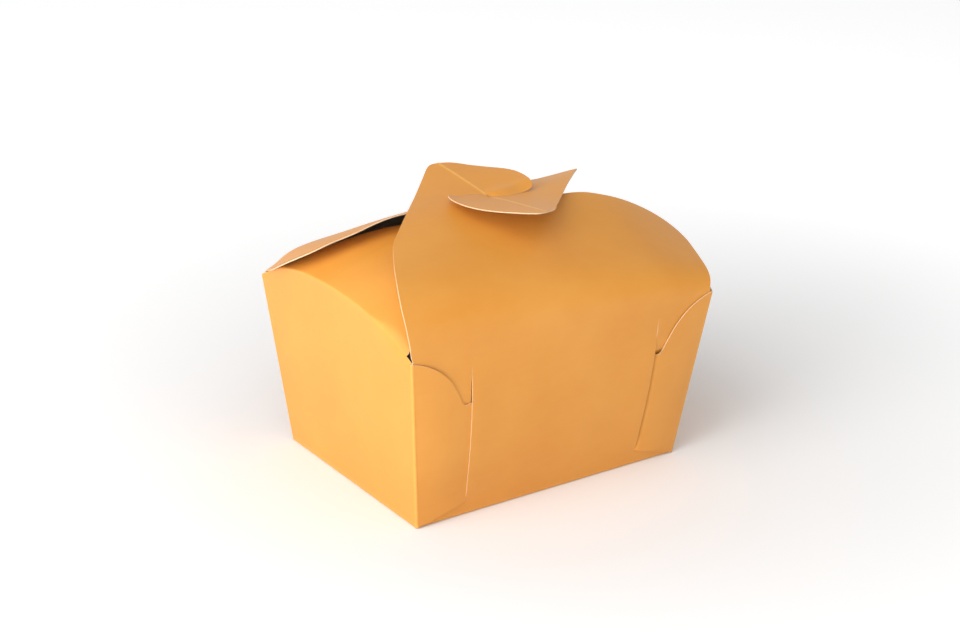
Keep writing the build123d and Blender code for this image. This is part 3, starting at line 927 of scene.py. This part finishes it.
# cut edge of the board
cut_edge, t, sh = new_material("cut_board_edge")
co = node(t, "ShaderNodeTexCoord").outputs["Object"]
fibre = noise(t, co, 1300.0, 4.0, 0.6)
col = ramp(t, fibre, [(0.25, (0.70, 0.46, 0.26)), (0.6, (0.79, 0.56, 0.34)),
                      (0.85, (0.84, 0.64, 0.44))])
t.links.new(col, sh.inputs["Base Color"])
t.links.new(map_range(t, fibre, 0.3, 0.7, 0.7, 0.9), sh.inputs["Roughness"])
t.links.new(bump(t, fibre, 0.4, 0.0001), sh.inputs["Normal"])

for m in (outside, inside, cut_edge):
    mesh.materials.append(m)
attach(board, "root")
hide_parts("pastry_basket")

# ---------------------------------------------------------------------------
# Floor, light and camera
# ---------------------------------------------------------------------------
fl = bpy.data.meshes.new("floor")
fl.from_pydata([(-6, -6, 0), (6, -6, 0), (6, 6, 0), (-6, 6, 0)], [], [[0, 1, 2, 3]])
floor = bpy.data.objects.new("floor", fl)
floor.location.z = -0.0002
bpy.context.scene.collection.objects.link(floor)
paper, t, sh = new_material("floor_white")
sh.inputs["Base Color"].default_value = (0.92, 0.92, 0.92, 1)
sh.inputs["Roughness"].default_value = 0.9
sh.inputs["Specular IOR Level"].default_value = 0.0
sh.inputs["Emission Color"].default_value = (1, 1, 1, 1)
# the floor glows: faint emission round the box, rising further out, so the sweep
# behind is a little brighter than the floor round the box
co = node(t, "ShaderNodeTexCoord").outputs["Object"]
away = node(t, "ShaderNodeVectorMath", operation="LENGTH")
t.links.new(co, away.inputs[0])
t.links.new(map_range(t, away.outputs["Value"], 0.10, 0.42, 0.04, 0.50),
            sh.inputs["Emission Strength"])
fl.materials.append(paper)

world = bpy.data.worlds.new("studio")
bpy.context.scene.world = world
world.use_nodes = True
t = world.node_tree
bg = t.nodes["Background"]
bg.inputs["Color"].default_value = (1.0, 1.0, 1.0, 1)
# dim all round, with a bright sweep low behind the box
way = node(t, "ShaderNodeTexCoord").outputs["Generated"]
dot = node(t, "ShaderNodeVectorMath", operation="DOT_PRODUCT")
t.links.new(way, dot.inputs[0])
dot.inputs[1].default_value = (0.578, 0.816, 0.0)
up = node(t, "ShaderNodeSeparateXYZ")
t.links.new(way, up.inputs[0])
sweep = math_node(t, "MULTIPLY",
                  map_range(t, dot.outputs["Value"], 0.15, 0.75, 0.0, 1.0),
                  map_range(t, up.outputs[2], 0.30, 0.65, 1.0, 0.0))
t.links.new(map_range(t, sweep, 0.0, 1.0, 0.34, 0.98), bg.inputs["Strength"])


def softbox(name, place, aim, w, h, power, colour=(1, 1, 1)):
    d = bpy.data.lights.new(name, "AREA")
    d.shape = "RECTANGLE"
    d.size, d.size_y = w, h
    d.energy = power
    d.color = colour
    o = bpy.data.objects.new(name, d)
    bpy.context.scene.collection.objects.link(o)
    o.location = place
    o.rotation_mode = "QUATERNION"
    o.rotation_quaternion = (Vector(aim) - Vector(place)).to_track_quat("-Z", "Y")
    return o


softbox("key_low", (-0.90, -0.20, 0.28), (0, 0, 0.05), 0.5, 0.5, 4.7)
softbox("key_high", (-0.75, -0.20, 0.70), (0, 0, 0.05), 0.8, 0.8, 3.9)
softbox("fill", (-0.60, -0.60, 0.60), (0, 0, 0.05), 0.8, 0.8, 1.8)
softbox("top", (-0.20, -0.50, 0.90), (0, 0, 0.05), 1.0, 1.0, 1.9)

CAM_AZ, CAM_EL, CAM_ROLL, CAM_DIST = -35.32, 21.67, 1.32, 0.788
CAM_F = 1924.0
TARGET = Vector((0.0183, 0.0294, 0.0400))
a, e, r = (math.radians(v) for v in (CAM_AZ, CAM_EL, CAM_ROLL))
back = Vector((math.sin(a) * math.cos(e), -math.cos(a) * math.cos(e), math.sin(e)))
cx = Vector((0, 0, 1)).cross(back).normalized()
cy = back.cross(cx)
x2 = math.cos(r) * cx + math.sin(r) * cy
y2 = -math.sin(r) * cx + math.cos(r) * cy
cam_data = bpy.data.cameras.new("camera")
cam = bpy.data.objects.new("camera", cam_data)
bpy.context.scene.collection.objects.link(cam)
rot = Matrix((x2, y2, back)).transposed().to_4x4()
cam.matrix_world = Matrix.Translation(TARGET + back * CAM_DIST) @ rot
cam_data.sensor_width = 36.0
cam_data.lens = CAM_F / 960.0 * 36.0
cam_data.clip_start, cam_data.clip_end = 0.01, 50.0
bpy.context.scene.camera = cam

bpy.context.scene.view_settings.view_transform = "Standard"
bpy.context.scene.view_settings.look = "None"
bpy.context.scene.view_settings.exposure = 0.0
bpy.context.scene.view_settings.gamma = 1.0

print("triangles", sum(len(g) - 2 for g in all_faces))
